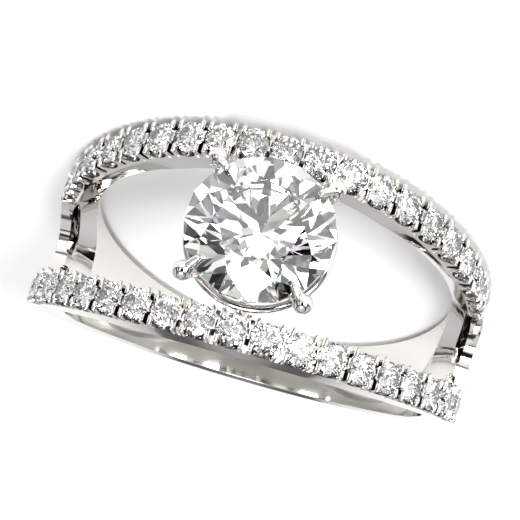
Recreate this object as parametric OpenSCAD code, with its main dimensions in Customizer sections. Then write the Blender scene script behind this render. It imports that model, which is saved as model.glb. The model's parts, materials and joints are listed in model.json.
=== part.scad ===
// Engagement ring with a split band. Each of its two rails carries a row of small
// round stones, and a round brilliant stands between them in a head with four prongs.
// Millimetres. The ring is drawn upright, with its finger hole along Y and its stone
// at +Z, and is then laid on its side, as it rests when it is not worn.

/* [Finger hole] */
// Inside diameter of the band
finger_d = 17.3; // [16:0.1:19]

/* [Band] */
// Thickness of the band under the centre stone
top_thick = 1.8; // [1.6:0.05:2.2]
// Thickness of the band at the back of the finger
bottom_thick = 1.4; // [1.2:0.05:1.6]
// Overall width across both rails under the centre stone
top_width = 9.78; // [9.4:0.02:10.2]
// Overall width at the sides of the finger
side_width = 5.66; // [5.2:0.02:6.2]
// Width at the back of the finger
bottom_width = 2.6; // [2:0.1:3.2]
// Width of one rail along its stones
rail_width = 1.5; // [1.45:0.01:1.6]

/* [Split between the rails] */
// Angle from the top, in degrees, at which the split starts to round off inside
inner_round_from = 75; // [72:1:78]
// Angle at which the split ends inside the band
inner_round_to = 106; // [104:1:108]
// Angle at which the split starts to round off outside
outer_round_from = 80; // [78:1:82]
// Angle at which the split ends outside the band
outer_round_to = 96; // [94:1:100]
// Width of one rail where the split starts to round off inside
rail_width_inner = 0.58; // [0.5:0.02:0.7]
// Width of one rail where the split starts to round off outside
rail_width_outer = 1.3; // [1.2:0.05:1.4]

/* [Small stones] */
// Diameter of a small stone
small_d = 1.42; // [1.36:0.01:1.43]
// Stones in one row, an odd number so that one sits at the top
row_count = 19; // [15:2:19]
// Spacing of the stones along the band
pitch = 1.515; // [1.48:0.005:1.53]
// Depth of a small stone's girdle under the band's outer surface
small_sink = 0.12; // [0.08:0.01:0.15]

/* [Small prongs] */
// Width of the round-bottomed scallop under each small stone
scallop_w = 0.96; // [0.9:0.02:1]
// Depth of the scallop
scallop_depth = 0.6; // [0.5:0.02:0.64]
// Width of the slot between two small stones
slot_w = 0.2; // [0.16:0.02:0.22]
// Depth of the slot
slot_depth = 0.5; // [0.4:0.02:0.6]

/* [Centre stone] */
// Diameter of the centre stone
centre_d = 6.5; // [6.3:0.1:6.6]
// Height of the centre stone's point above the finger hole
point_clear = 0.05; // [0.05:0.05:0.2]

/* [Head] */
// Diameter of a prong
prong_d = 0.6; // [0.55:0.01:0.62]
// Diameter of the round end of a prong
bead_d = 0.84; // [0.8:0.01:0.86]
// Diameter of the gallery wire under the centre stone
gallery_wire = 0.46; // [0.4:0.02:0.5]
// Diameter of the base ring's wire
base_wire = 0.52; // [0.48:0.02:0.56]

/* [Hidden] */
// Gap left between a stone and its seat
seat_gap = 0.03;
// Proportions of a round brilliant, as shares of its diameter
table_share = 0.57;
crown_share = 0.155;
girdle_share = 0.03;
pavilion_share = 0.43;
// Shares of the radius at which the star facets end and the lower facets of the pavilion meet
star_share = 0.78;
lower_share = 0.24;
// Facets of a brilliant lie in eight sectors
sectors = 8;

finger_r = finger_d / 2;
// The outside is one circle, lifted so that the band is thicker at the top
outer_r = finger_r + (top_thick + bottom_thick) / 2;
outer_lift = (top_thick - bottom_thick) / 2;
step = pitch / outer_r * 180 / PI;
last = (row_count - 1) / 2;

half_top = top_width / 2;
half_side = side_width / 2;
half_bottom = bottom_width / 2;

// Reach of a cutter past the metal, and the radii between which it is ruled
past = 1;
cut_from = finger_r - 0.3;
cut_to = outer_r + past;
side_stations = 96;
straight_stations = 20;
round_stations = 8;
// The rails keep their full width up to these angles from the top, inside and outside
inner_full_to = 32;
outer_full_to = 60;
// The split's wall is upright down to this radius, and below it opens to its inner outline
wall_foot = finger_r + 0.95;
// The split's end is left this wide, so that its last section is a face and not an edge
tip_gap = 0.02;

// Pockets beside the web that closes the split. Each is a groove in the wall of the split,
// between these radii and these angles from the top.
pocket_inner_r = finger_r + 0.65;
pocket_outer_r = finger_r + 1.1;
pocket_from = 82;
pocket_full_from = 92;
pocket_to = 112;
pocket_stations = 8;
// Distance from the web's middle at which a pocket begins
pocket_near = 0.5;
// Metal between a pocket and the band's side, where the pocket starts and where it is full
pocket_side_start = 0.75;
pocket_side_full = 0.5;

centre_girdle = finger_r + point_clear + centre_d * (pavilion_share + girdle_share / 2);
prong_out = centre_d / 2 + 0.44;
prong_knee = centre_girdle - 0.45;
bead_z = centre_girdle - 0.03;
tab_d = 0.46;
tab_out = centre_d / 2 - 0.05;
tab_z = centre_girdle + 0.58;
gallery_r = centre_d / 2 - 0.13;
gallery_z = centre_girdle - 1.25;
base_r = 1.5;
base_z = finger_r + base_wire / 2 + 0.22;
// Depth to which the bridge from the base ring runs into each rail
bridge_in = 0.4;

// Leaning the ring brings the rail at the top and the edge at the back to one level
lean = atan((half_top - half_bottom) / (finger_r + outer_r - outer_lift));
rest_height = half_top * cos(lean) - finger_r * sin(lean);
table_z = centre_girdle + centre_d * (crown_share + girdle_share / 2);
front_reach = table_z * cos(lean) + centre_d / 2 * table_share * sin(lean);
back_reach = (outer_r - outer_lift) * cos(lean) + half_bottom * sin(lean);
rest_shift = (front_reach - back_reach) / 2;

function two_digits(i) = i < 10 ? str("0", i) : str(i);
function upper_name(i) = str("upper_stone_", two_digits(i));
function lower_name(i) = str("lower_stone_", two_digits(i));

// Half of the band's width at an angle from the top
function half_width(a) =
    half_side + (cos(a) > 0 ? half_top - half_side : half_side - half_bottom) * cos(a);

// Width of a rail at an angle, narrowing to a stated width where the split rounds off
function rail_at(a, full_to, round_from, end_width) =
    a <= full_to
        ? rail_width
        : rail_width + (end_width - rail_width) * (a - full_to) / (round_from - full_to);

// Angles and half widths of the split from the top to one of its round ends
function split_edge(full_to, round_from, round_to, end_width) = concat(
    [for (k = [0:straight_stations])
        let (a = round_from * k / straight_stations)
        [a, half_width(a) - rail_at(a, full_to, round_from, end_width)]],
    [for (k = [1:round_stations])
        let (t = 90 * k / round_stations)
        [round_from + (round_to - round_from) * sin(t),
         tip_gap + (half_width(round_from) - end_width) * cos(t)]]
);

// A point at a radius, an angle from the top and a distance along the finger
function at(r, a, y) = [r * sin(a), y, r * cos(a)];

// Faces of a bar from the number of its sections and of the corners in each, with its ends
// closed or joined in a ring
function bar_faces(count, corners, ring) = concat(
    [for (k = [0:count - (ring ? 1 : 2)], j = [0:corners - 1])
        let (n = (k + 1) % count, i = (j + 1) % corners)
        [k * corners + j, n * corners + j, n * corners + i, k * corners + i]],
    ring ? [] : [[for (j = [0:corners - 1]) j],
                 [for (j = [corners - 1:-1:0]) (count - 1) * corners + j]]
);

// Everything outside one side of the band, as a ring whose inner edge follows that side
module side_cutter() {
    wide = half_top + past;
    sections = [for (k = [0:side_stations - 1])
        let (a = 360 * k / side_stations, y = half_width(a))
        [at(cut_from, a, wide), at(cut_to, a, wide), at(cut_to, a, y), at(cut_from, a, y)]];
    polyhedron([for (s = sections) each s], bar_faces(side_stations, 4, true));
}

// The open space between the rails, through its inner outline and twice its outer one
module split_cutter() {
    inner = split_edge(inner_full_to, inner_round_from, inner_round_to, rail_width_inner);
    outer = split_edge(outer_full_to, outer_round_from, outer_round_to, rail_width_outer);
    reach = len(inner) - 1;
    sections = [for (k = [-reach:reach])
        let (i = inner[abs(k)], o = outer[abs(k)], s = sign(k))
        [at(cut_from, s * i[0], i[1]), at(wall_foot, s * o[0], o[1]), at(cut_to, s * o[0], o[1]),
         at(cut_to, s * o[0], -o[1]), at(wall_foot, s * o[0], -o[1]), at(cut_from, s * i[0], -i[1])]];
    polyhedron([for (s = sections) each s], bar_faces(2 * reach + 1, 6, false));
}

// Metal left between a pocket and the band's side at an angle
function pocket_side(a) =
    let (share = min(1, (a - pocket_from) / (pocket_full_from - pocket_from)))
    pocket_side_start + (pocket_side_full - pocket_side_start) * share;

// One pocket on each side of both webs that close the split
module pockets() {
    sections = [for (k = [0:pocket_stations])
        let (a = pocket_from + (pocket_to - pocket_from) * k / pocket_stations,
             far = half_width(a) - pocket_side(a))
        [at(pocket_inner_r, a, far), at(pocket_outer_r, a, far),
         at(pocket_outer_r, a, pocket_near), at(pocket_inner_r, a, pocket_near)]];
    for (side = [-1, 1], along = [-1, 1])
        scale([side, along, 1])
            polyhedron([for (s = sections) each s], bar_faces(pocket_stations + 1, 4, false));
}

module along_finger(length) {
    rotate([90, 0, 0])
        linear_extrude(length, center = true)
            children();
}

// Brings what is drawn at the origin, facing up, to the outer surface of one rail
module on_rail(k, side) {
    a = k * step;
    x = outer_r * sin(a);
    z = outer_lift + outer_r * cos(a);
    from_top = abs(atan2(x, z));
    translate([x, side * (half_width(from_top) - rail_width / 2), z])
        rotate([0, a, 0])
            children();
}

// Brings a profile that crosses both rails to its place along the rows
module across_rails(k) {
    a = k * step;
    translate([outer_r * sin(a), 0, outer_lift + outer_r * cos(a)])
        rotate([0, a, 0])
            along_finger(top_width + 2 * past)
                children();
}

module scallop() {
    r = scallop_w / 2;
    translate([0, r - scallop_depth])
        circle(r, $fn = 48);
    translate([-r, r - scallop_depth])
        square([scallop_w, scallop_depth - r + past]);
}

module slot() {
    translate([-slot_w / 2, -slot_depth])
        square([slot_w, slot_depth + past]);
}

module small_seat() {
    r = small_d / 2 + seat_gap;
    deep = r * pavilion_share * 2;
    rotate_extrude($fn = 48)
        polygon([[0, -small_sink - deep], [r, -small_sink], [r, past], [0, past]]);
}

module band() {
    difference() {
        translate([0, 0, outer_lift])
            rotate([90, 0, 0])
                cylinder(h = top_width, r = outer_r, center = true, $fn = 180);
        side_cutter();
        mirror([0, 1, 0])
            side_cutter();
        split_cutter();
        pockets();
        rotate([90, 0, 0])
            cylinder(h = top_width + 2 * past, r = finger_r, center = true, $fn = 180);
    }
}

module scalloped_band() {
    difference() {
        band();
        for (k = [-last:last])
            across_rails(k)
                scallop();
    }
}

module slotted_band() {
    difference() {
        scalloped_band();
        for (k = [-last:last - 1])
            across_rails(k + 0.5)
                slot();
    }
}

module cut_band() {
    difference() {
        slotted_band();
        for (k = [-last:last], side = [-1, 1])
            on_rail(k, side)
                small_seat();
    }
}

// A round bar between two points
module bar(from, to, d) {
    run = to - from;
    length = norm(run);
    translate(from)
        rotate([0, acos(run[2] / length), atan2(run[1], run[0])])
            cylinder(h = length, d = d, $fn = 32);
}

module wire_ring(r, z, wire) {
    translate([0, 0, z])
        rotate_extrude($fn = 72)
            translate([r, 0])
                circle(d = wire, $fn = 24);
}

module prong() {
    bead = [prong_out, 0, bead_z];
    tab = [tab_out, 0, tab_z];
    knee = [prong_out, 0, prong_knee];
    bar([base_r, 0, base_z], knee, prong_d);
    translate(knee)
        sphere(d = prong_d, $fn = 24);
    bar(knee, bead, prong_d);
    translate(bead)
        sphere(d = bead_d, $fn = 32);
    bar(bead, tab, tab_d);
    translate(tab)
        sphere(d = tab_d, $fn = 24);
}

module head() {
    wire_ring(gallery_r, gallery_z, gallery_wire);
    wire_ring(base_r, base_z, base_wire);
    for (a = [45:90:315])
        rotate([0, 0, a])
            prong();
    for (side = [-1, 1])
        bar([0, side * base_r, base_z], [0, side * (half_top - rail_width + bridge_in), base_z], base_wire);
}

module setting() {
    color("lightgray") {
        cut_band();
        head();
    }
}

// A round brilliant with its girdle's middle at the origin and its table up. Rings of
// points, from the table down: table, star, upper girdle, lower girdle, lower facets, point.
module brilliant(d) {
    r = d / 2;
    half_girdle = d * girdle_share / 2;
    crown = d * crown_share;
    pavilion = d * pavilion_share;
    turn = 360 / sectors;
    // The stars and lower facets end where the kites and mains beside them stay flat
    star_z = half_girdle + crown * (1 - star_share * cos(turn / 2)) / (1 - table_share);
    low_z = -half_girdle - pavilion * (1 - lower_share * cos(turn / 2));
    function place(radius, a, z) = [radius * cos(a), radius * sin(a), z];
    table = [for (k = [0:sectors - 1]) place(r * table_share, k * turn, half_girdle + crown)];
    star = [for (k = [0:sectors - 1]) place(r * star_share, (k + 0.5) * turn, star_z)];
    rim_up = [for (k = [0:2 * sectors - 1]) place(r, k * turn / 2, half_girdle)];
    rim_down = [for (k = [0:2 * sectors - 1]) place(r, k * turn / 2, -half_girdle)];
    low = [for (k = [0:sectors - 1]) place(r * lower_share, (k + 0.5) * turn, low_z)];
    point = [[0, 0, -half_girdle - pavilion]];
    hull()
        polyhedron(concat(table, star, rim_up, rim_down, low, point),
                   [[for (k = [0:6 * sectors + sectors]) k]]);
}

module centre() {
    color("white")
        translate([0, 0, centre_girdle])
            brilliant(centre_d);
}

// A small stone with a table, eight crown facets, a girdle and eight pavilion facets
module small_stone() {
    r = small_d / 2;
    girdle = small_d * girdle_share;
    crown = small_d * crown_share;
    deep = small_d * pavilion_share;
    color("white")
        translate([0, 0, -small_sink])
            hull() {
                cylinder(h = crown + girdle / 2, r = r * table_share, $fn = sectors);
                cylinder(h = girdle, r = r, center = true, $fn = sectors);
                translate([0, 0, -deep])
                    cylinder(h = deep, r1 = 0, r2 = r - girdle, $fn = sectors);
            }
}

// Turns the ring on its side, leans it on its rail and its back, and stands it on the floor
module laid_down() {
    translate([0, rest_shift, rest_height])
        rotate([-lean, 0, 0])
            rotate([90, 180, 0])
                children();
}

laid_down() setting();  // ring_setting
laid_down() centre();  // centre_stone
for (i = [1:row_count]) {
    laid_down() on_rail(i - 1 - last, 1) small_stone();
    laid_down() on_rail(i - 1 - last, -1) small_stone();
}
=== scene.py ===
# %% [markdown]
# # An engagement ring with a split band
#
# The ring is cast in white gold. Its band splits into two rails, each rail carries a row of
# nineteen small diamonds, and a large round diamond stands between them on four prongs.
# The solids that describe it are loaded first. Everything made here shares their place and
# their size.

# %% Load the solids
import json
import math

import bmesh
import bpy
from mathutils import Matrix, Vector


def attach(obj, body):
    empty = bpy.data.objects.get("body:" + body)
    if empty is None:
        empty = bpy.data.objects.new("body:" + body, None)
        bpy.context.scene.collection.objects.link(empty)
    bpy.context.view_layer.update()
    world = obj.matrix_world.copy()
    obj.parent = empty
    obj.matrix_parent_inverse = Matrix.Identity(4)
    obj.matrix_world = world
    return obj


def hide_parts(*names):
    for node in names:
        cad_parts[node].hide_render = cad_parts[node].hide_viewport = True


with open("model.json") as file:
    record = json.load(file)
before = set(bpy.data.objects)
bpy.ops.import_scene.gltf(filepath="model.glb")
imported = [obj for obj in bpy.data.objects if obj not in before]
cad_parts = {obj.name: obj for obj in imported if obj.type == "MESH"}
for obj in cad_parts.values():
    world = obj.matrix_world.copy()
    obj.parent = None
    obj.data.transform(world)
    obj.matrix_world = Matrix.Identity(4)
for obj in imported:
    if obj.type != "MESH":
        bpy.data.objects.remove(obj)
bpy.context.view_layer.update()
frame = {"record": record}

# %% [markdown]
# ## Two frames
#
# A ring is easiest to think about standing up: the finger hole along Y, the large stone at
# the top. This one lies on its side, leaning on one rail. The record knows where the hole
# is and which way it points, so that lean is read from there, and one matrix carries every
# point from the upright ring, in millimetres, to its resting place, in metres.

# %% From the upright ring to the ring at rest
hole = frame["record"]["mounts"][0]
lean = math.atan2(hole["axis"][1], hole["axis"][2])
AT_REST = (Matrix.Translation(hole["pos_m"])
           @ Matrix.Rotation(-lean, 4, "X")
           @ Matrix.Rotation(math.pi, 4, "Y")
           @ Matrix.Rotation(math.pi / 2, 4, "X")
           @ Matrix.Scale(0.001, 4))
print(f"the ring leans {math.degrees(lean):.1f} degrees")

# %% [markdown]
# ## Sizes of the band
#
# The outside of the band is one circle, lifted a little above the middle of the finger, so
# the metal is thicker under the stone than at the back. Its width shrinks from the top to
# the back along a cosine. Millimetres, as a goldsmith would note them.

# %% Sizes and small measures
FINGER_R = hole["dims"]["r_mm"]
OUTER_R = 10.25
LIFT = 0.2
THICK = OUTER_R + LIFT - FINGER_R  # at the top, where the band is thickest
HALF_TOP = hole["dims"]["length_mm"] / 2  # half of the width at the top, side and back
HALF_SIDE = 2.83
HALF_BACK = 1.3
RAIL = 1.5  # width of one rail
PITCH = 1.515  # from one small stone to the next
LAST = 9  # small stones to each side of the topmost one


def half_width(angle):
    """Half of the band's width at an angle from the top."""
    swing = HALF_TOP - HALF_SIDE if math.cos(angle) > 0 else HALF_SIDE - HALF_BACK
    return HALF_SIDE + swing * math.cos(angle)


def around(s):
    """The angle from the top, as seen from the finger, of a point at s along the outside."""
    a = s / OUTER_R
    return math.atan2(OUTER_R * math.sin(a), LIFT + OUTER_R * math.cos(a))


def along(angle):
    """The opposite of around: how far along the outside an angle lies."""
    return OUTER_R * (angle + math.asin(LIFT * math.sin(angle) / OUTER_R))


def thickness(s):
    """The band's thickness at s."""
    a = s / OUTER_R
    return OUTER_R + LIFT * math.cos(a) - math.sqrt(FINGER_R ** 2 - (LIFT * math.sin(a)) ** 2)


print(f"band {2 * HALF_TOP:.2f} mm wide at the top, {2 * HALF_BACK:.2f} mm at the back")

# %% [markdown]
# ## Cutting a strip, then bending it
#
# A jeweller cuts the seats of a stone row while the metal is easy to reach. The same trick
# helps here: the band starts as a straight strip, every cut is made square to it, and the
# strip is bent into a ring at the end. In the strip, x runs along the band, y across it and
# z upwards from its outer surface. A helper cuts with the Boolean modifier and keeps what
# the modifier leaves.
#
# No cast and polished edge is perfectly sharp, and a thin rounding gives the bright lines
# that make metal read as metal. The long edges get theirs while the strip is still a plain
# bar, where a bevel has nothing in its way.

# %% Helpers for making and cutting meshes
def make(name, bm):
    """A new object from a bmesh, linked into the scene."""
    mesh = bpy.data.meshes.new(name)
    bm.to_mesh(mesh)
    bm.free()
    piece = bpy.data.objects.new(name, mesh)
    bpy.context.scene.collection.objects.link(piece)
    return piece


def settle(piece):
    """Applies the piece's modifiers and keeps the result as its mesh."""
    graph = bpy.context.evaluated_depsgraph_get()
    old, piece.data = piece.data, bpy.data.meshes.new_from_object(piece.evaluated_get(graph))
    piece.modifiers.clear()
    bpy.data.meshes.remove(old)


def cut(piece, name, bm):
    """Cuts the shapes in a bmesh out of a piece."""
    bmesh.ops.recalc_face_normals(bm, faces=bm.faces)
    cutter = make(name, bm)
    boolean = piece.modifiers.new(name, "BOOLEAN")
    boolean.operation = "DIFFERENCE"
    boolean.solver = "MANIFOLD"
    boolean.object = cutter
    settle(piece)
    bpy.data.objects.remove(cutter)
    print(f"{name}: {len(piece.data.polygons)} faces left")


def round_off(bm, edges, radius):
    """Bevels edges with a round profile."""
    bmesh.ops.bevel(bm, geom=edges, offset=radius, offset_type="OFFSET", affect="EDGES",
                    segments=3, profile=0.5, clamp_overlap=True, material=-1)


def merge_flat(bm, degrees):
    """Joins neighbouring faces that lie in one plane, to within some degrees."""
    bmesh.ops.dissolve_limit(bm, angle_limit=math.radians(degrees), verts=bm.verts,
                             edges=bm.edges)


def draw_out(bm, face, by):
    """Extrudes a face, moves its new copy and returns the corners of that copy."""
    new = bmesh.ops.extrude_face_region(bm, geom=[face])["geom"]
    corners = [v for v in new if isinstance(v, bmesh.types.BMVert)]
    bmesh.ops.translate(bm, vec=by, verts=corners)
    return corners


def shade_smooth(bm):
    """Shades every face smoothly."""
    for f in bm.faces:
        f.smooth = True


def narrowed(s):
    """How much narrower the bent band is at s than the straight strip."""
    return half_width(around(s)) / HALF_TOP


# %% The straight strip
STRIP_END = math.pi * OUTER_R
EDGE_ROUND = 0.07
bm = bmesh.new()
bmesh.ops.create_cube(bm, size=1)
bmesh.ops.scale(bm, vec=(2 * STRIP_END, 2 * HALF_TOP, THICK), verts=bm.verts)
bmesh.ops.translate(bm, vec=(0, 0, -THICK / 2), verts=bm.verts)
round_off(bm, [e for e in bm.edges if e.calc_length() > STRIP_END], EDGE_ROUND)
band = make("band", bm)
print(f"strip {band.dimensions.x:.1f} mm long")

# %% [markdown]
# ## The split
#
# Between the rails the band is open. Its wall stands upright in the outer half of the metal
# and opens towards the finger, where the opening also reaches further round. So the wall
# slopes at both ends and catches the light there. Three outlines are bridged into the body
# that is cut away. The rims of the cut are rounded before any finer cut crosses them.

# %% Cut the split between the rails
WALL_FOOT = 0.95  # height above the finger where the upright part of the wall begins
ROUND_FROM = {"inner": math.radians(75), "outer": math.radians(80)}
ROUND_TO = {"inner": math.radians(106), "outer": math.radians(96)}
RAIL_AT_ROUND = {"inner": 0.58, "outer": 1.3}
FULL_RAIL_TO = {"inner": math.radians(32), "outer": math.radians(60)}
BLUNT = {"inner": 0.9, "outer": 0.8}  # 1 is an ellipse, less is nearer to a rectangle
LONG_STEPS, ROUND_STEPS = 40, 24
CUT_UNDER, CUT_OVER = 0.3, 1  # how far cutting bodies stick out of the strip


def rail_at(angle, side):
    """Width of a rail, which narrows towards where the split rounds off."""
    full_to = FULL_RAIL_TO[side]
    share = max(0, (angle - full_to) / (ROUND_FROM[side] - full_to))
    return RAIL + (RAIL_AT_ROUND[side] - RAIL) * share


def split_quarter(side):
    """A quarter of the split's outline: points (angle, half width), from the top to the end."""
    start, end = ROUND_FROM[side], ROUND_TO[side]
    points = []
    for k in range(LONG_STEPS + 1):
        angle = start * k / LONG_STEPS
        points.append((angle, half_width(angle) - rail_at(angle, side)))
    width = points[-1][1]
    for k in range(1, ROUND_STEPS + 1):
        turn = math.radians(90 * k / ROUND_STEPS)
        points.append((start + (end - start) * math.sin(turn) ** BLUNT[side],
                       width * max(0, math.cos(turn)) ** BLUNT[side]))
    return points


def split_loop(bm, side, height):
    """The whole outline as a closed loop of edges, in the strip's frame."""
    quarter = [(along(a), y / narrowed(along(a))) for a, y in split_quarter(side)]
    points = ([(s, y) for s, y in quarter] + [(s, -y) for s, y in quarter[-2::-1]]
              + [(-s, -y) for s, y in quarter[1:]] + [(-s, y) for s, y in quarter[-2:0:-1]])
    verts = [bm.verts.new((s, y, height(s))) for s, y in points]
    return [bm.edges.new((v, verts[i - 1])) for i, v in enumerate(verts)]


bm = bmesh.new()
inside = split_loop(bm, "inner", lambda s: -THICK - CUT_UNDER)
foot = split_loop(bm, "outer", lambda s: WALL_FOOT - thickness(s))
outside = split_loop(bm, "outer", lambda s: CUT_OVER)
bmesh.ops.bridge_loops(bm, edges=inside + foot)
bmesh.ops.bridge_loops(bm, edges=foot + outside)
bmesh.ops.holes_fill(bm, edges=inside + outside)
cut(band, "split", bm)

# %% Round off the rims of the split
SAME_PLANE = 0.5  # degrees
LEAST_RIM = math.radians(25)
RIM_ROUND = 0.05
bm = bmesh.new()
bm.from_mesh(band.data)
merge_flat(bm, SAME_PLANE)
level = [f for f in bm.faces if abs(f.normal.z) > 0.999]
rims = [e for e in {e for f in level for e in f.edges}
        if e.calc_face_angle(0) > LEAST_RIM and abs(e.verts[0].co.x) < STRIP_END - 1]
round_off(bm, rims, RIM_ROUND)
bm.to_mesh(band.data)
bm.free()
print(f"split: {len(rims)} edges rounded off")

# %% [markdown]
# ## Pockets in the shoulders
#
# Where the rails meet, a web of metal joins them. Beside it a burr goes sideways into the
# wall of each rail and leaves a pocket shaped like a lens, so an outer plate and an inner
# sleeve show with a dark gap between them.

# %% Cut the four pockets
POCKET_FROM, POCKET_TO = math.radians(77), math.radians(100)
POCKET_MIDDLE, POCKET_HALF = 0.86, 0.32  # height above the finger, and half of its own
POCKET_NEAR, POCKET_SIDE = 0.4, 0.7  # metal kept beside the band's middle and at its side
POCKET_NOSE = 0.1
POCKET_TIP = 0.03  # share of the lens that is left off at each end, so no section is a point
LENS_POWER = 0.8
POCKET_STEPS, POCKET_CORNERS = 14, 20


def pocket_section(bm, share, end, side):
    """The edges of a pocket's cross-section, at a share of its way along the band."""
    angle = POCKET_FROM + (POCKET_TO - POCKET_FROM) * share
    s, wide = end * along(angle), side / narrowed(along(angle))
    swell = math.sin(math.pi * (POCKET_TIP + (1 - 2 * POCKET_TIP) * share)) ** LENS_POWER
    reach = (half_width(angle) - POCKET_SIDE - POCKET_NEAR) * (1 + swell) / 2
    verts = []
    for k in range(POCKET_CORNERS):
        turn = 2 * math.pi * k / POCKET_CORNERS
        y = POCKET_NEAR + (reach if math.cos(turn) > 0 else POCKET_NOSE) * math.cos(turn)
        z = POCKET_MIDDLE - thickness(s) + POCKET_HALF * swell * math.sin(turn)
        verts.append(bm.verts.new((s, y * wide, z)))
    return [bm.edges.new((v, verts[i - 1])) for i, v in enumerate(verts)]


bm = bmesh.new()
for end in (-1, 1):
    for side in (-1, 1):
        sections = [pocket_section(bm, k / POCKET_STEPS, end, side)
                    for k in range(POCKET_STEPS + 1)]
        for near, far in zip(sections, sections[1:]):
            bmesh.ops.bridge_loops(bm, edges=near + far)
bmesh.ops.holes_fill(bm, edges=bm.edges)
cut(band, "pockets", bm)

# %% [markdown]
# ## Seats for the small stones
#
# This is a French cut. Under each stone a round-bottomed scallop runs right through the
# rail, so the stone's side shows. From both edges a slot is filed between two stones,
# narrower at its bottom. It parts the metal into a pair of prongs and leaves a thin wall in
# the middle. Last, a drill with a pointed tip opens the seat, and what is left of each prong
# hugs the stone. The strip becomes narrower as it is bent, so a seat is drilled as an
# ellipse that much wider.

# %% Sizes of the cuts
SCALLOP_R = 0.46
SCALLOP_DEEP = 0.6
SLOT_W = 0.3
SLOT_BOTTOM = 0.5  # share of that width
SLOT_DEEP = 0.6
SLOT_WALL = 0.5
SMALL_D = 1.42
SINK = 0.12  # how far a stone's girdle lies below the strip's surface
SEAT_R = SMALL_D / 2 + 0.03
SEAT_DEEP = SEAT_R * 0.86
SEAT_CORNERS = 32
CUT_HIGH = 1.5  # how far scallops and seats are drawn upwards, clear of the metal
ACROSS = 2 * HALF_TOP + 2
places = [k * PITCH for k in range(-LAST, LAST + 1)]
print(f"{len(places)} seats a rail, {SEAT_R:.2f} mm in radius and {SINK + SEAT_DEEP:.2f} deep")


# %% Cut scallops, slots and seats
def rail_middle(s, side):
    """Where a rail's middle lies across the strip."""
    return side * (HALF_TOP - RAIL / 2 / narrowed(s))


bm = bmesh.new()
for s in places:
    ring = bmesh.ops.create_circle(bm, segments=28, radius=SCALLOP_R, cap_ends=True,
                                   matrix=Matrix.Rotation(math.pi / 2, 4, "X"))["verts"]
    bmesh.ops.translate(bm, vec=(0, 0, CUT_HIGH), verts=[v for v in ring if v.co.z > 0.01])
    bmesh.ops.translate(bm, vec=(s, -ACROSS / 2, SCALLOP_R - SCALLOP_DEEP), verts=ring)
    draw_out(bm, ring[0].link_faces[0], (0, ACROSS, 0))
cut(band, "scallops", bm)

bm = bmesh.new()
for s in places[:-1]:
    between = s + PITCH / 2
    middle = rail_middle(between, 1)
    wall = SLOT_WALL / 2 / narrowed(between)
    for low, high in ((-ACROSS / 2, -middle - wall), (wall - middle, middle - wall),
                      (middle + wall, ACROSS / 2)):
        saw = bmesh.ops.create_cube(bm, size=1)["verts"]
        bmesh.ops.scale(bm, vec=(SLOT_W, high - low, CUT_OVER + SLOT_DEEP), verts=saw)
        bmesh.ops.scale(bm, vec=(SLOT_BOTTOM, 1, 1), verts=[v for v in saw if v.co.z < 0])
        bmesh.ops.translate(bm, verts=saw,
                            vec=(between, (low + high) / 2, (CUT_OVER - SLOT_DEEP) / 2))
cut(band, "slots", bm)

bm = bmesh.new()
for s in places:
    for side in (-1, 1):
        drill = bmesh.ops.create_cone(bm, segments=SEAT_CORNERS, radius1=0, radius2=SEAT_R,
                                      depth=SEAT_DEEP, cap_ends=True)["verts"]
        bmesh.ops.translate(bm, vec=(0, 0, -SINK - SEAT_DEEP / 2), verts=drill)
        top = [f for f in {f for v in drill for f in v.link_faces} if f.normal.z > 0.9][0]
        drill += draw_out(bm, top, (0, 0, CUT_HIGH))
        bmesh.ops.delete(bm, geom=[top], context="FACES_ONLY")
        bmesh.ops.scale(bm, vec=(1, 1 / narrowed(s), 1), verts=drill)
        bmesh.ops.translate(bm, vec=(s, rail_middle(s, side), 0), verts=drill)
cut(band, "seats", bm)

# %% [markdown]
# ## Bending
#
# The creases left by the saw and the drill are marked while the faces are still flat, so
# that the shading treats them alike all round. The line between a face and its rounding
# counts as a crease too, which keeps the reflection in a wide face calm. Then the
# strip is sliced every two degrees so that it can bend, and each vertex is carried to its
# place on the ring. The back is domed on the way: a finger ring is round outside where the
# hand closes on it, so the back is also sliced lengthwise.
#
# The band grows thinner towards the back. Only its inner part gives way to that, so that
# seats and slots keep their depth all round.

# %% Mark the creases and slice the strip
LARGEST_ROUNDING = EDGE_ROUND + 0.001
FLAT, CREASE = 3, 35  # degrees: never a crease below the first, always one from the second
SLICE = 2  # degrees
DOME_SLICES_FROM = OUTER_R * math.radians(84)
DOME_SLICES = (-4.4, -3.8, -3, -2, -1, 0, 1, 2, 3, 3.8, 4.4)


def on_rounding(face):
    """Whether a face of the strip belongs to the rounding of a long edge."""
    heights = [v.co.z for v in face.verts]
    near = min(heights) > -LARGEST_ROUNDING or max(heights) < LARGEST_ROUNDING - THICK
    return near and abs(face.normal.z) < 0.9999


def closes_strip(face):
    """Whether a face closes one of the strip's two ends, which meet at the back."""
    middle = face.calc_center_median()
    return abs(face.normal.x) > 0.99 and abs(abs(middle.x) - STRIP_END) < 0.01


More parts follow.
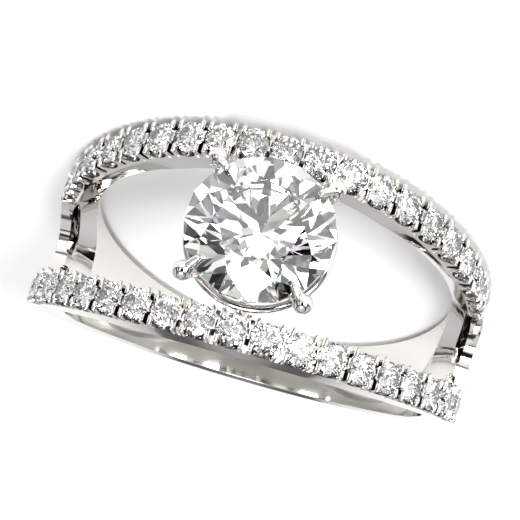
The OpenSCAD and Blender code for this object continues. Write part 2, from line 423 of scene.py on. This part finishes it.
bm = bmesh.new()
bm.from_mesh(band.data)
bmesh.ops.remove_doubles(bm, verts=bm.verts, dist=0.0005)
merge_flat(bm, SAME_PLANE)
bmesh.ops.delete(bm, geom=[f for f in bm.faces if closes_strip(f)], context="FACES_ONLY")
for e in bm.edges:
    angle = math.degrees(e.calc_face_angle(0))
    rounded = [f for f in e.link_faces if on_rounding(f)]
    foot = all(abs(v.co.z + thickness(v.co.x) - WALL_FOOT) < 0.01 for v in e.verts)
    e.smooth = angle < FLAT or (angle < CREASE and len(rounded) != 1 and not foot)
for degrees in range(SLICE - 180, 180, SLICE):
    bmesh.ops.bisect_plane(bm, geom=bm.verts[:] + bm.edges[:] + bm.faces[:], dist=0.0001,
                           plane_co=(OUTER_R * math.radians(degrees), 0, 0), plane_no=(1, 0, 0))
for y in DOME_SLICES:
    faces = [f for f in bm.faces if abs(f.calc_center_median().x) > DOME_SLICES_FROM]
    rim = list({v for f in faces for v in f.verts} | {e for f in faces for e in f.edges}) + faces
    bmesh.ops.bisect_plane(bm, geom=rim, dist=0.0001, plane_co=(0, y, 0), plane_no=(0, 1, 0))
print(f"strip: {len(bm.faces)} faces, {sum(not e.smooth for e in bm.edges)} edges in creases")

# %% Bend the band
OUTER_PART = 0.9  # the outer part of the metal, which keeps its thickness
DOME = 0.75  # how much lower the back's outer edges lie than its middle
DOME_FROM, DOME_OVER = 96, 34  # degrees from the top, and degrees until it is full
DOME_POWER = 2.6


def bent(point):
    """Carries a point of the straight strip to its place on the upright ring."""
    s, y, z = point
    a = s / OUTER_R
    deep = -z
    if deep > OUTER_PART:
        squeeze = (thickness(s) - OUTER_PART) / (THICK - OUTER_PART)
        deep = OUTER_PART + (deep - OUTER_PART) * squeeze
    fade = min(1, max(0, (abs(math.degrees(around(s))) - DOME_FROM) / DOME_OVER))
    dome = DOME * fade * fade * (3 - 2 * fade) * abs(y / HALF_TOP) ** DOME_POWER
    r = OUTER_R - deep - dome * max(0, 1 - deep / OUTER_PART)
    return Vector((r * math.sin(a), y * narrowed(s), LIFT + r * math.cos(a)))


for v in bm.verts:
    v.co = AT_REST @ bent(v.co)
bmesh.ops.remove_doubles(bm, verts=bm.verts, dist=0.000002)
shade_smooth(bm)
bm.to_mesh(band.data)
bm.free()
print(f"band: {len(band.data.polygons)} faces, {[round(1000 * x, 2) for x in band.dimensions]} mm")

# %% [markdown]
# ## Small prongs
#
# What is left between a scallop and a slot is filed round, so each small prong is a short
# bar that stands a little proud of the rail's side. When the stones are in, its tip is
# pushed over the stone's edge and rounded with a cup burr. The bars are drawn out from small
# balls on the strip, two beside each stone on both edges of a rail, then bent with the same
# function as the band.

# %% Rounded bars of the small prongs
BAR = Vector((0.1, 0.26, 0.14))  # radii along, across and upwards
BAR_DEEP = 0.45  # how far the lower half of the ball is drawn down
BAR_AHEAD, BAR_OUT = 0.52, 0.56  # from the stone's middle, along and across the rail
BAR_SINK = 0.03
bm = bmesh.new()
ball_verts = bmesh.ops.create_uvsphere(bm, u_segments=12, v_segments=6, radius=1)["verts"]
bmesh.ops.scale(bm, vec=BAR, verts=ball_verts)
bmesh.ops.translate(bm, vec=(0, 0, -BAR_DEEP), verts=[v for v in ball_verts if v.co.z < -0.01])
bar = make("bar", bm)
bm = bmesh.new()
for s in places:
    spread = 1 / narrowed(s)
    for side in (-1, 1):
        for ahead in (-BAR_AHEAD, BAR_AHEAD):
            for out in (-BAR_OUT, BAR_OUT):
                bm.from_mesh(bar.data)
                place = Vector((s + ahead, rail_middle(s, side) + out * spread, -BAR_SINK))
                for v in bm.verts[-len(bar.data.vertices):]:
                    v.co = AT_REST @ bent(place + Vector((v.co.x, v.co.y * spread, v.co.z)))
bpy.data.objects.remove(bar)
bmesh.ops.recalc_face_normals(bm, faces=bm.faces)
shade_smooth(bm)
tips = make("small_prongs", bm)
print(f"small prongs: {len(tips.data.polygons)} faces")

# %% [markdown]
# ## The head
#
# The large stone sits in four prongs. Each is a stem that leaves a small base ring,
# leans outwards, stands up beside the stone and ends in a round ball with a tab that holds
# the stone down. Two wires tie the prongs together. Rods and balls are laid into each other
# and then remeshed as one skin, which is how a cast prong looks: no seam anywhere.

# %% Four prongs
CENTRE_D = 6.5
PAVILION, GIRDLE = 0.43, 0.03  # height of a brilliant's lower part and girdle, in diameters
CULET_CLEAR = 0.05  # between the stone's lowest point and the finger
GIRDLE_Z = FINGER_R + CULET_CLEAR + CENTRE_D * (PAVILION + GIRDLE / 2)
PRONG_OUT = CENTRE_D / 2 + 0.44
BALL_Z = GIRDLE_Z - 0.03
BASE_R = 1.5
BASE_Z = FINGER_R + 0.48
FOOT_R, STEM_R, NECK_R, BALL_R = 0.25, 0.3, 0.33, 0.45  # radii of the metal, from below
TAB_ROOT_R, TAB_R, TAB_TIP_R = 0.24, 0.2, 0.17


def rod(bm, start, end, r_start, r_end):
    """Adds a round bar between two points, thicker or thinner towards its end."""
    start, end = Vector(start), Vector(end)
    turn = (end - start).to_track_quat("Z", "Y").to_matrix().to_4x4()
    bmesh.ops.create_cone(bm, segments=24, radius1=r_start, radius2=r_end, cap_ends=True,
                          depth=(end - start).length,
                          matrix=Matrix.Translation((start + end) / 2) @ turn)


def ball(bm, centre, radius):
    """Adds a ball."""
    bmesh.ops.create_uvsphere(bm, u_segments=24, v_segments=16, radius=1,
                              matrix=Matrix.Translation(centre) @ Matrix.Scale(radius, 4))


bm = bmesh.new()
knee = (PRONG_OUT, 0, GIRDLE_Z - 0.45)
brow = (CENTRE_D / 2 + 0.02, 0, GIRDLE_Z + 0.34)
tip = (CENTRE_D / 2 - 0.28, 0, GIRDLE_Z + 0.53)
rod(bm, (BASE_R, 0, BASE_Z), knee, FOOT_R, STEM_R)
ball(bm, knee, STEM_R)
rod(bm, knee, (PRONG_OUT, 0, BALL_Z), STEM_R, NECK_R)
ball(bm, (PRONG_OUT, 0, BALL_Z), BALL_R)
rod(bm, (PRONG_OUT - 0.04, 0, BALL_Z + 0.08), brow, TAB_ROOT_R, TAB_R)
ball(bm, brow, TAB_R)
rod(bm, brow, tip, TAB_R, TAB_TIP_R)
ball(bm, tip, TAB_TIP_R)
prong = make("prong", bm)
skin = prong.modifiers.new("one skin", "REMESH")
skin.mode = "VOXEL"
skin.voxel_size = 0.05
soft = prong.modifiers.new("soft", "SMOOTH")
soft.factor = 0.5
soft.iterations = 5
settle(prong)
bm = bmesh.new()
for degrees in range(45, 360, 90):
    bm.from_mesh(prong.data)
    new = bm.verts[-len(prong.data.vertices):]
    bmesh.ops.rotate(bm, verts=new, matrix=Matrix.Rotation(math.radians(degrees), 3, "Z"))
bpy.data.objects.remove(prong)
bmesh.ops.transform(bm, verts=bm.verts, matrix=AT_REST)
shade_smooth(bm)
prongs = make("head_prongs", bm)
print(f"four prongs: {len(prongs.data.polygons)} faces")

# %% [markdown]
# A round wire bent into a ring is a small circle spun about an axis. Two of them run round
# the prongs, and a short bridge carries the lower one to each rail.

# %% Gallery wire, base ring and bridge
GALLERY_WIRE, BASE_WIRE = 0.36, 0.52
BRIDGE_R = BASE_WIRE / 2
BRIDGE_INTO = 0.4  # how far a bridge runs into its rail


def wire_ring(bm, radius, height, wire):
    """Adds a ring of round wire, level, at a height."""
    place = Matrix.Translation((radius, 0, height)) @ Matrix.Rotation(math.pi / 2, 4, "X")
    circle = bmesh.ops.create_circle(bm, segments=20, radius=wire / 2, matrix=place)["verts"]
    edges = list({e for v in circle for e in v.link_edges})
    bmesh.ops.spin(bm, geom=circle + edges, axis=(0, 0, 1), cent=(0, 0, 0), steps=96,
                   angle=2 * math.pi, use_merge=True)


bm = bmesh.new()
wire_ring(bm, CENTRE_D / 2 - 0.13, GIRDLE_Z - 1.25, GALLERY_WIRE)
wire_ring(bm, BASE_R, BASE_Z, BASE_WIRE)
reach = HALF_TOP - RAIL + BRIDGE_INTO
for side in (-1, 1):
    rod(bm, (0, side * BASE_R, BASE_Z), (0, side * reach, BASE_Z), BRIDGE_R, BRIDGE_R)
bmesh.ops.remove_doubles(bm, verts=bm.verts, dist=0.0005)
bmesh.ops.recalc_face_normals(bm, faces=bm.faces)
bmesh.ops.transform(bm, verts=bm.verts, matrix=AT_REST)
for f in bm.faces:
    f.smooth = len(f.verts) == 4  # the rods' ends stay flat
wires = make("head_wires", bm)
print(f"wires: {len(wires.data.polygons)} faces")

# %% [markdown]
# ## Round brilliants
#
# A round brilliant has 57 facets: a table, 8 stars, 8 kites and 16 upper halves on the
# crown, then 8 mains and 16 lower halves underneath. All of them fall out of the convex
# hull of a few rings of points, provided that the points lie where the kites and the mains
# stay flat. The facets are left unsmoothed, because it's their sharp edges that sparkle.

# %% One brilliant of diameter 1
TABLE = 0.57
CROWN = 0.155
STAR_R = 0.78  # of the stone's radius, where a star's point lies
LOWER_R = 0.24  # of the stone's radius, where a main's widest point lies
HALF_TURN = math.pi / 8
SAME_FACET = 0.6  # degrees


def points(bm, count, radius, z, turned):
    """Adds a ring of points around the stone's axis."""
    bmesh.ops.create_circle(bm, segments=count, radius=radius, matrix=(
        Matrix.Translation((0, 0, z)) @ Matrix.Rotation(turned, 4, "Z")))


def brilliant():
    """A bmesh of a brilliant of diameter 1, its table up and its girdle at the origin."""
    bm = bmesh.new()
    kite_share = (1 - STAR_R * math.cos(HALF_TURN)) / (1 - TABLE)
    main_share = 1 - LOWER_R * math.cos(HALF_TURN)
    points(bm, 8, TABLE / 2, GIRDLE / 2 + CROWN, 0)
    points(bm, 8, STAR_R / 2, GIRDLE / 2 + CROWN * kite_share, HALF_TURN)
    points(bm, 16, 0.5, GIRDLE / 2, 0)
    points(bm, 16, 0.5, -GIRDLE / 2, 0)
    points(bm, 8, LOWER_R / 2, -GIRDLE / 2 - PAVILION * main_share, HALF_TURN)
    bm.verts.new((0, 0, -GIRDLE / 2 - PAVILION))
    bmesh.ops.delete(bm, geom=bm.edges[:], context="EDGES_FACES")
    bmesh.ops.convex_hull(bm, input=bm.verts)
    merge_flat(bm, SAME_FACET)
    bmesh.ops.recalc_face_normals(bm, faces=bm.faces)
    return bm


sample = brilliant()
print(f"brilliant: {len(sample.faces)} faces, girdle included")
sample.free()

# %% [markdown]
# The large stone is one brilliant. The small ones repeat it along both rails, and each is
# turned a little about its own axis, because no setter lines up the facets.

# %% Set the stones
LARGE_TWIST = 0.12
SMALL_TWIST, ROW_TWIST = 0.61, 0.3


def on_rail(index, side):
    """Where a small stone sits on the upright ring."""
    s = index * PITCH
    a = s / OUTER_R
    middle = side * (half_width(around(s)) - RAIL / 2)
    r = OUTER_R - SINK
    return (Matrix.Translation((r * math.sin(a), middle, LIFT + r * math.cos(a)))
            @ Matrix.Rotation(a, 4, "Y"))


def stone(name, node, diameter, place):
    """Makes a brilliant, puts it in place and lets it stand for its solid."""
    bm = brilliant()
    bmesh.ops.transform(bm, verts=bm.verts, matrix=AT_REST @ place @ Matrix.Scale(diameter, 4))
    piece = make(name, bm)
    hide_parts(node)
    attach(piece, "root")
    return piece


stones = [stone("large_diamond", "centre_stone", CENTRE_D,
                Matrix.Translation((0, 0, GIRDLE_Z)) @ Matrix.Rotation(LARGE_TWIST, 4, "Z"))]
for side, row in ((1, "upper"), (-1, "lower")):
    for number in range(1, 2 * LAST + 2):
        twist = Matrix.Rotation(SMALL_TWIST * number + ROW_TWIST * side, 4, "Z")
        stones.append(stone(f"{row}_diamond_{number:02d}", f"{row}_stone_{number:02d}",
                            SMALL_D, on_rail(number - 1 - LAST, side) @ twist))
print(f"{len(stones)} stones set")

# %% [markdown]
# ## Materials
#
# White gold is plated with rhodium, which gives its cool, slightly grey mirror. Polishing
# leaves faint swirls, so the roughness varies a little and a very low bump bends the
# reflections. Diamond is clear, with a refractive index of 2.42, and its polish is perfect.
# It also splits light into colours. This shader can't, so that fire is painted into the
# stone's colour: patches about as large as a facet, each with its own faint tint. A small
# stone spreads less light and looks white, so its painted patches are smaller and fainter.

# %% Node helper and colours
def linear(code):
    """Turns an sRGB hex code into the linear colour a shader needs."""
    parts = [int(code[i:i + 2], 16) / 255 for i in (1, 3, 5)]
    return [c / 12.92 if c <= 0.04045 else ((c + 0.055) / 1.055) ** 2.4 for c in parts] + [1]


def add(tree, kind, settings=None, links=None):
    """Adds a node, sets its properties and inputs, and links inputs to other outputs."""
    node = tree.nodes.new(kind)
    for key, value in (settings or {}).items():
        if hasattr(node, key):
            setattr(node, key, value)
        else:
            node.inputs[key].default_value = value
    for key, output in (links or {}).items():
        tree.links.new(output, node.inputs[key])
    return node


def material(name):
    """A new, empty material and its node tree."""
    new = bpy.data.materials.new(name)
    new.use_nodes = True
    new.node_tree.nodes.clear()
    return new, new.node_tree


print("a hex code in linear light:", [round(c, 3) for c in linear("#DEDCD8")])

# %% Rhodium-plated white gold, polished
# The plating gives a cool grey mirror, and the swirls keep it from looking like chrome.
SWIRL_SIZE, SWIRL_RISE = 0.0011, 0.00002  # metres
gold, tree = material("rhodium_plated_white_gold_polished")
where = add(tree, "ShaderNodeTexCoord")
swirls = add(tree, "ShaderNodeTexNoise", {"Scale": 1 / SWIRL_SIZE, "Detail": 3},
             {"Vector": where.outputs["Object"]})
sheen = add(tree, "ShaderNodeMapRange", {"To Min": 0.03, "To Max": 0.09},
            {"Value": swirls.outputs["Fac"]})
dimple = add(tree, "ShaderNodeBump", {"Strength": 0.05, "Distance": SWIRL_RISE},
             {"Height": swirls.outputs["Fac"]})
shader = add(tree, "ShaderNodeBsdfPrincipled",
             {"Base Color": linear("#DEDCD8"), "Metallic": 1},
             {"Roughness": sheen.outputs["Result"], "Normal": dimple.outputs["Normal"]})
add(tree, "ShaderNodeOutputMaterial", None, {"Surface": shader.outputs["BSDF"]})
for piece in (band, tips, prongs, wires):
    piece.data.materials.clear()
    piece.data.materials.append(gold)
    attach(piece, "root")
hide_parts("ring_setting")
print("metal:", gold.name)


# %% Diamond, cut and polished
# Clear and sharply bright, with a few coloured glints of fire painted into the large stone's
# colour.
def cut_diamond(name, patch, tint):
    """Clear diamond with faint patches of tint painted in as fire, of a size in metres."""
    diamond, tree = material(name)
    where = add(tree, "ShaderNodeTexCoord")
    patches = add(tree, "ShaderNodeTexVoronoi", {"Scale": 1 / patch},
                  {"Vector": where.outputs["Object"]})
    # The patches tint the stone's colour: painted fire, coloured glints the shader can't make.
    fire = add(tree, "ShaderNodeMix", {"data_type": "RGBA", "blend_type": "MIX"})
    fire.inputs["Factor"].default_value = tint
    fire.inputs[6].default_value = linear("#FFFFFF")
    tree.links.new(patches.outputs["Color"], fire.inputs[7])
    shader = add(tree, "ShaderNodeBsdfPrincipled",
                 {"Base Color": linear("#FFFFFF"), "Roughness": 0.0, "IOR": 2.42,
                  "Transmission Weight": 1}, {"Base Color": fire.outputs[2]})
    add(tree, "ShaderNodeOutputMaterial", None, {"Surface": shader.outputs["BSDF"]})
    return diamond


large = cut_diamond("diamond_polished_large_facets", patch=0.0008, tint=0.22)
small = cut_diamond("diamond_polished_small_facets", patch=0.0002, tint=0.06)
for piece in stones:
    piece.data.materials.append(large if piece is stones[0] else small)
print("stones:", large.name, small.name)

# %% [markdown]
# ## The camera
#
# The camera looks at the ring as the photograph does: from a hand's width away, through a
# long lens, past the lower rail towards the upper one. Its place was worked out on the
# upright ring, from where the slots between the stones appear, and rides to the ring at
# rest with the same matrix.

# %% Camera
TILT, TURN, ROLL = -0.29669, -0.08187, -0.27390
SHIFT_X, SHIFT_Y = -0.0396, -2.2338
DISTANCE = 108.14
PIXELS_PER_MM = 21.395
PICTURE = 520  # pixels
look = (Matrix.Rotation(ROLL, 3, "Z") @ Matrix.Rotation(TURN, 3, "Y")
        @ Matrix.Rotation(TILT, 3, "X"))
eye = look.transposed() @ Vector((-SHIFT_X, -SHIFT_Y, DISTANCE))
rest_turn = AT_REST.to_3x3() * 1000
lens = bpy.data.cameras.new("camera")
lens.sensor_width = 36
lens.lens = PIXELS_PER_MM * DISTANCE / PICTURE * lens.sensor_width
lens.clip_start = 0.001
camera = bpy.data.objects.new("camera", lens)
camera.matrix_world = (Matrix.Translation(AT_REST @ eye)
                       @ (rest_turn @ look.transposed()).to_4x4())
bpy.context.scene.collection.objects.link(camera)
bpy.context.scene.camera = camera
bpy.context.scene.view_settings.view_transform = "Standard"
viewpoint = camera.matrix_world.to_translation()
print(f"camera {1000 * viewpoint.z:.0f} mm above the table, lens {lens.lens:.0f} mm")

# %% [markdown]
# ## Table top and light
#
# A polished ring shows whatever is around it, and white on white would show nothing. So the
# studio is a white tent with dark parts in it, as jewellery is photographed: four upright
# black cards, a dark strip along the horizon, a dark ring high in the tent, and the dark
# round of the camera itself, which gives the large stone its dark arrows. Every dark part
# fades out at its edges, so that reflections end softly. Two square lights brighten the
# table to white, and the ring's shadow on it is faint and stays close by.

# %% The table top
# Matt paper, which stays plain white and never competes with the ring.
FIBRE_SIZE, FIBRE_RISE = 0.0004, 0.00001  # metres
bm = bmesh.new()
bmesh.ops.create_grid(bm, x_segments=1, y_segments=1, size=1.5)
floor = make("floor", bm)
paper, tree = material("matt_white_paper")
where = add(tree, "ShaderNodeTexCoord")
fibres = add(tree, "ShaderNodeTexNoise", {"Scale": 1 / FIBRE_SIZE, "Detail": 4},
             {"Vector": where.outputs["Object"]})
tooth = add(tree, "ShaderNodeBump", {"Strength": 0.1, "Distance": FIBRE_RISE},
            {"Height": fibres.outputs["Fac"]})
shader = add(tree, "ShaderNodeBsdfPrincipled",
             {"Base Color": linear("#F8F8F8"), "Roughness": 0.6},
             {"Normal": tooth.outputs["Normal"]})
add(tree, "ShaderNodeOutputMaterial", None, {"Surface": shader.outputs["BSDF"]})
floor.data.materials.append(paper)
print(f"table top {floor.dimensions.x:.0f} m wide")

# %% Brightness of the tent
# By height, from the horizon up to straight above, as pairs (height, brightness).
TENT = ((0, 0.15), (0.04, 0.15), (0.08, 0.7), (0.3, 0.85), (0.6, 1),
        (0.68, 0.15), (0.76, 0.15), (0.84, 1))
# Upright cards, as pairs (middle, half width) in turns around the ring.
CARDS = ((0.05, 0.03), (0.14, 0.025), (0.36, 0.025), (0.45, 0.03))
CARD_FADE, CARD_BLACK = 0.014, 0.02
# Around the direction of the camera, by the cosine of the angle from it.
HOOD = ((0, 0.47), (0.5, 0.47), (0.8, 1),
        (math.cos(math.radians(24)), 1), (math.cos(math.radians(17)), 0.005))
SKY = 1.72
card_stops = [(0, 1)]
for middle, half in CARDS:
    card_stops += [(middle - half, 1), (middle - half + CARD_FADE, CARD_BLACK),
                   (middle + half - CARD_FADE, CARD_BLACK), (middle + half, 1)]
print(f"{len(TENT)} heights, {len(CARDS)} cards, a hood of {len(HOOD)} stops")


# %% The white tent and its black cards
def grey_ramp(tree, value, stops):
    """A colour ramp from a value, through greys given as (position, brightness)."""
    ramp = add(tree, "ShaderNodeValToRGB", None, {"Fac": value})
    ramp.color_ramp.interpolation = "EASE"
    elements = ramp.color_ramp.elements
    elements.remove(elements[1])
    elements[0].position = stops[0][0]
    for position, brightness in stops[1:]:
        elements.new(position)
    for element, (position, brightness) in zip(elements, stops):
        element.color = (brightness, brightness, brightness, 1)
    return ramp.outputs["Color"]


world = bpy.data.worlds.new("studio")
world.use_nodes = True
tree = world.node_tree
tree.nodes.clear()
where = add(tree, "ShaderNodeTexCoord")
height = add(tree, "ShaderNodeSeparateXYZ", None, {"Vector": where.outputs["Generated"]})
tent = grey_ramp(tree, height.outputs["Z"], TENT)
compass = add(tree, "ShaderNodeTexGradient", {"gradient_type": "RADIAL"},
              {"Vector": where.outputs["Generated"]})
cards = grey_ramp(tree, compass.outputs["Fac"], card_stops)
shade = add(tree, "ShaderNodeMix", {"data_type": "RGBA", "blend_type": "MULTIPLY"})
shade.inputs["Factor"].default_value = 1
tree.links.new(tent, shade.inputs[6])
tree.links.new(cards, shade.inputs[7])
facing = add(tree, "ShaderNodeVectorMath", {"operation": "DOT_PRODUCT"},
             {0: where.outputs["Generated"]})
facing.inputs[1].default_value = viewpoint.normalized()
hood = grey_ramp(tree, facing.outputs["Value"], HOOD)
strength = add(tree, "ShaderNodeMath", {"operation": "MULTIPLY"}, {0: hood})
strength.inputs[1].default_value = SKY
sky = add(tree, "ShaderNodeBackground", None,
          {"Color": shade.outputs[2], "Strength": strength.outputs["Value"]})
add(tree, "ShaderNodeOutputWorld", None, {"Surface": sky.outputs["Background"]})
bpy.context.scene.world = world
print(f"tent of {len(tree.nodes)} nodes")


# %% Soft lights
def soft_light(name, place, size, watts):
    """A square area light that looks at the ring."""
    light = bpy.data.lights.new(name, "AREA")
    light.size = size
    light.energy = watts
    lamp = bpy.data.objects.new(name, light)
    lamp.location = place
    lamp.rotation_euler = (-Vector(place)).to_track_quat("-Z", "Y").to_euler()
    bpy.context.scene.collection.objects.link(lamp)
    print(f"{name}: {1000 * Vector(place).length:.0f} mm away, {watts} W")


soft_light("key_light", (-0.12, -0.22, 0.095), size=0.1, watts=0.75)
soft_light("top_light", (0, -0.1, 0.24), size=0.1, watts=0.33)
